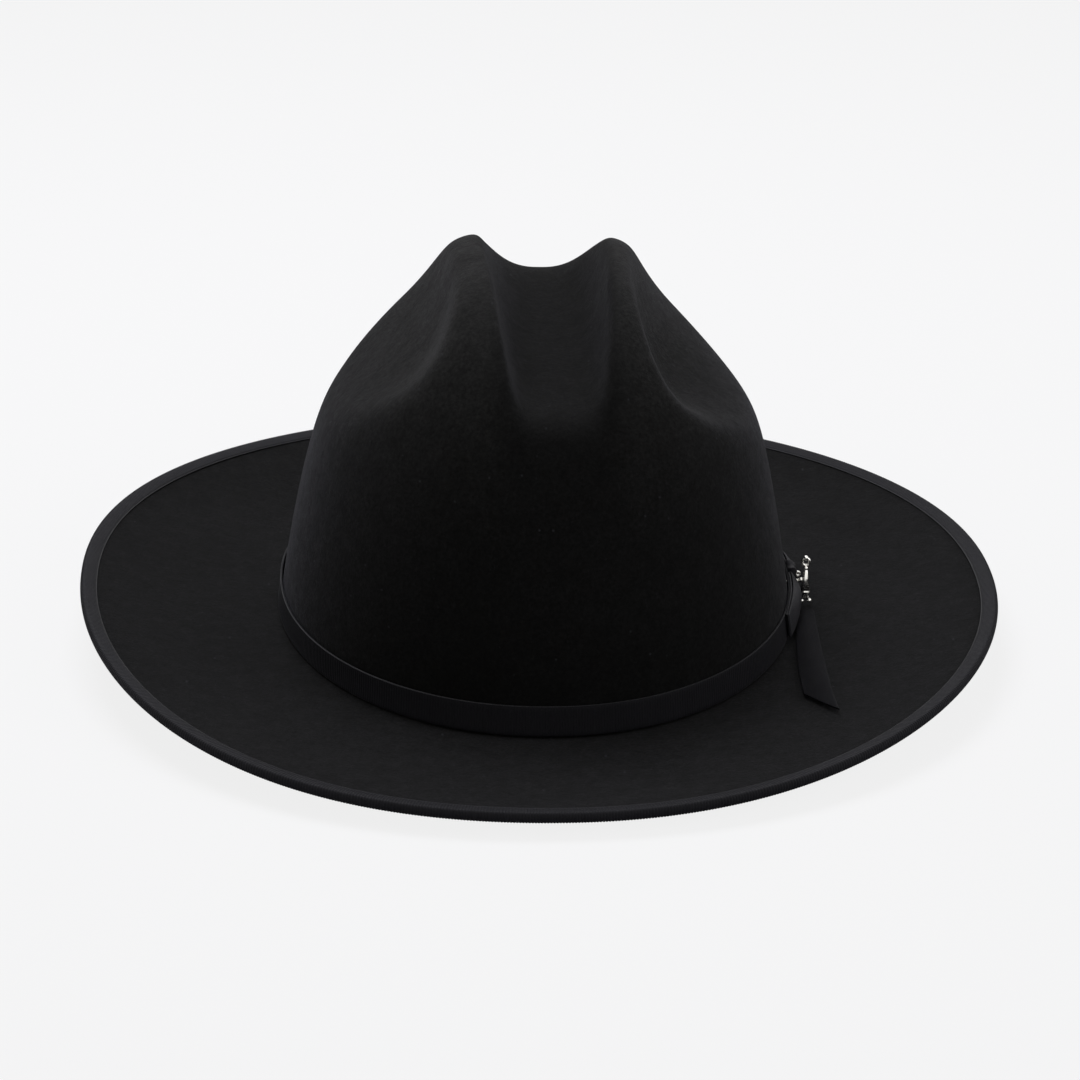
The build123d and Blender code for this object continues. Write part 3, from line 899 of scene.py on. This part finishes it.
# Pin: ring and bead on top, a facetted bar, two small feet with ball ends
pinSizes = {
    "y": -6.0,
    "over": 2.7,
    "off": 3.4,
    "high": 16.4,
    "axisOut": 2.1,
    "barWide": 1.0,
    "barDeep": 1.45,
    "lean": 0.11,
    "tip": 0.15,
    # the bar's places from its middle, with shares of its depth and width; thicker downwards
    "outline": (
        (-4.7, 0.7, 0.4), (-4.6, 1.45, 0.95), (-4.1, 1.6, 1.1), (-3.8, 1.4, 0.85), (-3.5, 1.5, 1.0),
        (3.4, 0.62, 0.85), (3.6, 0.55, 0.7), (3.8, 0.7, 0.95), (4.4, 0.66, 0.95), (4.6, 0.4, 0.6),
        (4.9, 0.35, 0.5),
    ),
    "beadR": 0.85,
    "hip": -4.4,  # where the legs start
    "legs": ((-1.2, -7.3), (1.4, -7.6)),  # how far out and how low each ends
    "ballR": 0.82,
    "postR": 0.6,
    "postTail": 1.9,
    "clutchR": 2.8,
    "clutchThick": 1.2,
    "clutchGap": 0.2,
}


# Rings of points round a line of places (back, up, out), each with two half widths
def rodGrid(places, columns=20, square=2.0):
    places = np.array(places, float)
    run = np.gradient(places[:, :3], axis=0)
    run /= np.linalg.norm(run, axis=1, keepdims=True) + 1e-12
    turn = stations(columns)
    size = (abs(np.cos(turn)) ** square + abs(np.sin(turn)) ** square) ** (-1 / square)
    rows = []
    for spot, way in zip(places, run):
        first = np.cross(way, (0, 0, 1) if abs(way[2]) < 0.9 else (0, 1, 0))
        first /= np.linalg.norm(first)
        second = np.cross(way, first)
        at = spot[:3] + np.outer(size * np.cos(turn) * spot[3], first)
        at = at + np.outer(size * np.sin(turn) * spot[4], second)
        rows.append(besideBow(at[:, 0], at[:, 1], at[:, 2]))
    return np.stack(rows, 0)


def ballGrid(spot, radius):
    steps = np.linspace(-0.985, 0.985, 13)
    wide = radius * np.sqrt(1 - steps**2)
    return rodGrid([(spot[0], spot[1] + radius * a, spot[2], w, w) for a, w in zip(steps, wide)])


def hoopGrid(spot, radius, wire):
    turn, aroundWire = stations(28)[:, None], stations(12)[None, :]
    reach = radius + wire * np.cos(aroundWire)
    return besideBow(spot[0] + wire * np.sin(aroundWire) + 0 * turn,
                     spot[1] + reach * np.sin(turn), spot[2] + reach * np.cos(turn))


def makePin():
    p = pinSizes
    y, up, out = p["y"], p["over"], p["off"] + p["axisOut"] - wallSag(p["y"])
    half = p["high"] / 2
    wide, deep = p["barWide"], p["barDeep"]

    # the bar leans, so its face looks a little upwards
    def leaning(a):
        return y + p["lean"] * a, up + a, out + p["tip"] * a

    parts = [
        rodGrid([(*leaning(a), deep * w, wide * v) for a, v, w in p["outline"]], 24, 3.6),
        ballGrid(leaning(half - 0.75), p["beadR"]),
    ]
    for reach, drop in p["legs"]:
        leg = []
        for a in np.linspace(0, 1, 8):
            back, rise, away = leaning(p["hip"] + (drop - p["hip"]) * a)
            leg.append((back, rise, away + reach * a**1.3, 0.7 - 0.2 * a, 0.7 - 0.2 * a))
        back, rise, away = leaning(drop)
        parts += [rodGrid(leg), ballGrid((back, rise, away + reach), p["ballR"])]
    parts.append(rodGrid([(y, up + 0.1, out - a, 0.75, 0.75) for a in (1.0, 1.6, p["axisOut"])]))
    ornament = joinGrids("pinOrnament", parts)
    place(ornament, "pin", "antique_silver", silverMetal, "pin_bar")
    ring = gridMesh("pinTopRing", hoopGrid(leaning(6.1), 1.3, 0.48), roundRows=True)
    place(ring, "pin", "antique_silver", silverMetal)
    link = gridMesh("pinSideRing", hoopGrid((y + 0.3, up + 2.4, out - 2.3), 0.7, 0.36), roundRows=True)
    place(link, "pin", "antique_silver", silverMetal)
    sag = wallSag(p["y"])
    inner = -bandOut - bowSizes["gap"] - hatShape["feltThick"] - sag
    back, tip = p["off"] - sag, inner - p["postTail"]
    r = p["postR"]
    post = rodGrid([(y, up, back - 0.02, r, r), (y, up, tip + 1.2, r, r),
                    (y, up, tip + 0.5, 0.7 * r, 0.7 * r), (y, up, tip + 0.02, 0.15 * r, 0.15 * r)])
    place(joinGrids("pinPost", [post]), "pin", "antique_silver", silverMetal, "pin_post")
    near = inner - p["clutchGap"]
    far = near - p["clutchThick"]
    hole, rim = p["postR"] + 0.2, p["clutchR"]
    section = [(near, hole), (near, rim - 0.25), (near - 0.25, rim), (far + 0.35, rim),
               (far + 0.15, rim - 0.4), (far + 0.3, rim - 0.9), (far, hole + 0.5), (far, hole)]
    turn = stations(40)
    rows = [besideBow(y + w * np.cos(turn), up + w * np.sin(turn), np.full_like(turn, a)) for a, w in section]
    clutch = tube("pinClutch", rows)
    place(clutch, "clutch", "antique_silver", silverMetal, "pin_clutch")


makePin()
print("hat: pin made")

# Sweatband, reed and tape inside the crown
sweatSizes = {
    "gap": 2.8, "thick": 1.2, "high": 48.0, "ease": 1.3, "low": -0.1,
    "reedR": 0.7, "reedGap": 0.15, "tapeThick": 0.45, "tapeHigh": 6.0, "tapeGap": 0.25,
    "stitchUp": 3.4, "stitches": 170, "stitchThick": 0.16,
    # how far the leather waves at its top, dips at its seam and is pressed at its stitching
    "wave": 0.30, "groove": 0.18, "pressed": 0.10,
}

# One stitch: share of its length, share of its thickness, and how proud it stands
stitchShape = ((0, 0.45, -0.2), (0.2, 0.9, 0.35), (0.5, 1.0, 0.55), (0.8, 0.9, 0.35), (1, 0.45, -0.2))


def hoopMesh(name, corners, angle, ripple=None):
    rows = []
    for inset, up in corners:
        extra = 0 if ripple is None else ripple(angle, up)
        rows.append(wallPoint(angle, up + 0 * angle, inset + extra))
    return tube(name, rows)


# Small stitches along a run: each from one place to the next, standing a little proud
def makeStitches(name, starts, ends, outward, thick):
    grids = []
    turn = stations(6)
    for a, b, away in zip(starts, ends, outward):
        run = (b - a) / np.linalg.norm(b - a)
        aside = np.cross(run, away)
        rows = []
        ring = np.outer(np.cos(turn), aside) + 0.7 * np.outer(np.sin(turn), away)
        for share, wide, lift in stitchShape:
            spot = a + (b - a) * share + away * lift * thick
            rows.append(spot + thick * wide * ring)
        grids.append(np.stack(rows, 0))
    stitches = joinGrids(name, grids)
    return place(stitches, "hat", "black_grosgrain", thread)


def makeSweatband():
    s, h = sweatSizes, hatShape
    outer = h["feltThick"] + s["gap"]
    inner = outer + s["thick"]
    top, low = s["low"] + s["high"], s["low"]
    seam = halfTurn / 2
    angle = np.sort(np.concatenate([stations(360), seam + np.linspace(-0.018, 0.018, 13)[::2] + 1e-4]))

    def ease(up):
        return s["ease"] * (up - low) / s["high"]

    def ripple(angle, up):
        share = min(max((up - low) / s["high"], 0), 1)
        groove = s["groove"] * np.exp(-(((angle - seam) / 0.006) ** 2))
        pressed = s["pressed"] * math.exp(-(((up - low - s["stitchUp"]) / 0.7) ** 2))
        return ease(up) + s["wave"] * share * waver(angle, np.zeros(1), 21) - groove - pressed

    levels = np.concatenate([np.linspace(low + 0.3, low + 6, 12), np.linspace(low + 7, top - 0.3, 24)])
    corners = [(outer, up) for up in levels] + [(outer + 0.3, top), (inner - 0.3, top)]
    corners += [(inner, up) for up in levels[::-1]] + [(inner - 0.3, low), (outer + 0.3, low)]
    piece = hoopMesh("leatherSweatband", corners, angle, ripple)
    place(piece, "hat", "black_leather", leatherHide, "sweatband")

    count = s["stitches"]
    at = stations(count)
    span = 2 * halfTurn / count
    level = np.full(count, low + s["stitchUp"])
    inset = inner + ease(low + s["stitchUp"])
    starts = wallPoint(at, level, inset)
    ends = wallPoint(at + 0.62 * span, level, inset)
    inwards = starts * np.array([-1, -1, 0])
    inwards /= np.linalg.norm(inwards, axis=1, keepdims=True)
    makeStitches("sweatbandStitches", starts, ends, inwards, s["stitchThick"] * mm)

    plain = stations(360)
    reedAt = ((outer + inner) / 2, low - s["reedGap"] - s["reedR"])
    ring = [(reedAt[0] + s["reedR"] * math.cos(t), reedAt[1] + s["reedR"] * math.sin(t))
            for t in stations(14)]
    reed = hoopMesh("sweatbandReedRoll", ring, plain)
    place(reed, "hat", "reed_plastic", reedCore, "sweatband_reed")
    tapeOut = h["feltThick"] + s["tapeGap"]
    tapeIn = tapeOut + s["tapeThick"]
    tapeLow = reedAt[1] - s["reedR"] - s["reedGap"] - s["tapeThick"]
    tapeTop = tapeLow + s["tapeThick"]
    strip = [(tapeOut, tapeLow + 0.25), (tapeOut + 0.25, tapeLow), (inner - 0.25, tapeLow),
             (inner, tapeLow + 0.2), (inner, tapeTop), (tapeIn + 0.2, tapeTop), (tapeIn, tapeTop + 0.2),
             (tapeIn, tapeLow + s["tapeHigh"]), (tapeOut, tapeLow + s["tapeHigh"])]
    tape = hoopMesh("reedTapeStrip", strip, plain)
    place(tape, "hat", "black_tape", tapeCloth, "reed_tape")


makeSweatband()
print("hat: sweatband made")

# Small satin bow over the sweatband's seam at the back of the head
rearBowSizes = {"long": 13.0, "high": 5.0, "thick": 1.0, "up": 8.0, "gap": 0.45}


def makeRearBow():
    r, s, h = rearBowSizes, sweatSizes, hatShape
    inset = h["feltThick"] + s["gap"] + s["thick"] + s["ease"] * r["up"] / s["high"] + r["gap"]
    middle = wallPoint(np.array(halfTurn / 2), np.array(r["up"]), inset) / mm
    turn = stations(24)
    grids = []
    for side in (-1, 1):
        rows = []
        for share in np.linspace(0.02, 1, 16):
            high = r["high"] / 2 * (0.30 + 0.70 * math.sin(share * halfTurn / 2) ** 0.8)
            deep = 0.30 + (r["thick"] / 2 + 0.1 - 0.30) * math.sin(share * halfTurn * 0.8)
            pleat = 1 + 0.20 * (1 - share) * np.cos(3 * turn)
            x = np.full_like(turn, side * r["long"] / 2 * share)
            z = high * np.sign(np.sin(turn)) * abs(np.sin(turn)) ** 0.8 * pleat
            y = -r["thick"] / 2 - deep * np.cos(turn) * pleat
            rows.append((middle + np.stack([x, y, z], -1)) * mm)
        grids.append(np.stack(rows if side > 0 else rows[::-1], 0))
    knot = []
    for x, size in ((-1.2, 0.45), (-1.05, 0.9), (-0.5, 1.0), (0.5, 1.0), (1.05, 0.9), (1.2, 0.45)):
        y, z = -0.95 - 0.9 * size * np.cos(turn), 1.6 * size * np.sin(turn)
        knot.append((middle + np.stack([np.full_like(turn, x), y, z], -1)) * mm)
    grids.append(np.stack(knot, 0))
    bow = joinGrids("sweatbandBow", grids)
    place(bow, "hat", "black_satin", satinCloth, "sweatband_bow")


makeRearBow()
print("hat: rear bow made")

liningSizes = {
    "gap": 1.3, "ease": 2.6, "thick": 0.7, "seamGap": 0.004, "pleat": 0.18, "pleats": 90,
    "low": 0.42, "seam": 0.98,  # lifts of the lower edge and of the seam
    "pipingR": 1.1, "pipingGap": 0.9, "sideCut": (0.49, 0.062), "tipCut": (0.110, 0.138),
}


def liningPoint(angle, lift, depth):
    n = liningSizes
    share = np.minimum((lift - n["low"]) / (n["seam"] - n["low"]), 1)
    angle, lift = np.broadcast_arrays(angle, lift)
    return crownPoint(angle, lift, hatShape["feltThick"] + n["gap"] + n["ease"] * share + depth)


def makeLining():
    n = liningSizes
    angle = stations(360)[None, :]
    lift = np.linspace(n["low"], n["seam"], 50)[:, None]
    pleat = n["pleat"] * np.sin(angle * n["pleats"]) * np.clip(1 - (lift - n["low"]) / 0.2, 0, 1)
    outside, inside = liningPoint(angle, lift, pleat), liningPoint(angle, lift, n["thick"] + pleat)
    side = gridMesh("liningSideCloth", np.concatenate([outside, inside[::-1]]), roundRows=True)
    place(side, "hat", "black_satin", satinCloth, "lining_side")
    lift = np.linspace(n["seam"] + n["seamGap"], halfTurn / 2 - 0.02, 50)[:, None]
    outside, inside = liningPoint(angle, lift, 0), liningPoint(angle, lift, n["thick"])
    top = [liningPoint(*crownTop, d) for d in (n["thick"], 0)]
    grid = np.concatenate([inside[::-1], outside])
    tip = gridMesh("liningTipCloth", grid, poles=top)
    place(tip, "hat", "black_satin", satinCloth, "lining_tip")
    middle = n["thick"] + n["pipingGap"] + n["pipingR"] / 2
    rows = []
    for turn in stations(10):
        lifted = n["seam"] + n["pipingR"] / hatShape["liftUnit"] * math.sin(turn)
        rows.append(liningPoint(angle, np.array([[lifted]]), middle + n["pipingR"] / 2 * math.cos(turn))[0])
    piping = tube("liningSeamPiping", rows)
    place(piping, "hat", "black_satin", satinCloth, "lining_piping")


makeLining()
print("hat: lining made")

# Studio: pale floor, soft light from above and behind, a little from the front
studio = {
    "target": (0, 0, 0.0484),
    "distance": 1.4,
    "elevation": 20.805,
    "yaw": 2.806,
    "lens": 137.2,
    "shiftX": 0.00176,
    "shiftY": -0.0484,
    "floorSize": 9.0,
    "floorZ": -0.0006,
    "cool": (0.95, 0.955, 1.06),
    "aim": (0, 0, 0.06),
    "floorGlow": 0.84,
    "surround": 0.095,
    # place, size and watts of each light
    "lights": {
        "topLight": ((-0.16, 0.42, 1.0), (0.7, 0.5), 6.3),
        "leftLight": ((-1.5, 0.4, 0.8), (0.9, 0.9), 0.6),
        "rightLight": ((1.4, -0.5, 0.85), (0.9, 0.9), 3.7),
    },
}


def softLight(name, spot, size, watts):
    light = bpy.data.lights.new(name, "AREA")
    light.shape = "RECTANGLE"
    light.size, light.size_y = size
    light.energy = watts
    light.color = studio["cool"]
    holder = bpy.data.objects.new(name, light)
    holder.location = spot
    holder.rotation_euler = (Vector(studio["aim"]) - Vector(spot)).to_track_quat("-Z", "Y").to_euler()
    bpy.context.scene.collection.objects.link(holder)


def makeStudio():
    s = studio
    size, level = s["floorSize"], s["floorZ"]
    floor = gridMesh("studioFloor", np.array([
        [[-size, -size, level], [size, -size, level]],
        [[-size, size, level], [size, size, level]],
    ]), roundColumns=False)
    pale = bpy.data.materials.new("paleFloor")
    pale.use_nodes = True
    nodes, links = pale.node_tree.nodes, pale.node_tree.links
    surface = nodes["Principled BSDF"]
    surface.inputs["Base Color"].default_value = (0.86, 0.86, 0.86, 1)
    surface.inputs["Roughness"].default_value = 0.9
    seen = nodes.new("ShaderNodeLightPath")
    glow = nodes.new("ShaderNodeEmission")
    glow.inputs["Color"].default_value = (1, 1, 1, 1)
    blend = nodes.new("ShaderNodeMixShader")
    share = nodes.new("ShaderNodeMath")
    share.operation = "MULTIPLY"
    share.inputs[1].default_value = s["floorGlow"]
    links.new(seen.outputs["Is Camera Ray"], share.inputs[0])
    links.new(share.outputs[0], blend.inputs[0])
    links.new(surface.outputs[0], blend.inputs[1])
    links.new(glow.outputs[0], blend.inputs[2])
    links.new(blend.outputs[0], nodes["Material Output"].inputs["Surface"])
    floor.data.materials.append(pale)

    world = bpy.data.worlds.new("studioWorld")
    bpy.context.scene.world = world
    world.use_nodes = True
    nodes, links = world.node_tree.nodes, world.node_tree.links
    around = nodes["Background"]
    around.inputs["Color"].default_value = (1, 1, 1, 1)
    seen = nodes.new("ShaderNodeLightPath")
    plain = nodes.new("ShaderNodeMapRange")
    plain.inputs["To Min"].default_value = s["surround"]
    plain.inputs["To Max"].default_value = 1.0
    either = nodes.new("ShaderNodeMath")
    either.operation = "MAXIMUM"
    links.new(seen.outputs["Is Camera Ray"], either.inputs[0])
    links.new(seen.outputs["Is Glossy Ray"], either.inputs[1])
    links.new(either.outputs[0], plain.inputs["Value"])
    links.new(plain.outputs["Result"], around.inputs["Strength"])

    for name, (spot, size, watts) in s["lights"].items():
        softLight(name, spot, size, watts)

    lens = bpy.data.cameras.new("hatCamera")
    lens.lens = s["lens"]
    lens.sensor_width = 36
    lens.shift_x, lens.shift_y = s["shiftX"], s["shiftY"]
    lens.clip_end = 50
    eye = bpy.data.objects.new("hatCamera", lens)
    low, turn = math.radians(s["elevation"]), math.radians(s["yaw"])
    target = Vector(s["target"])
    away = Vector((-math.cos(low) * math.sin(turn), -math.cos(low) * math.cos(turn), math.sin(low)))
    eye.location = target + away * s["distance"]
    eye.rotation_euler = (-away).to_track_quat("-Z", "Y").to_euler()
    bpy.context.scene.collection.objects.link(eye)
    bpy.context.scene.camera = eye
    bpy.context.scene.view_settings.view_transform = "Standard"


makeStudio()
print("hat: studio made")
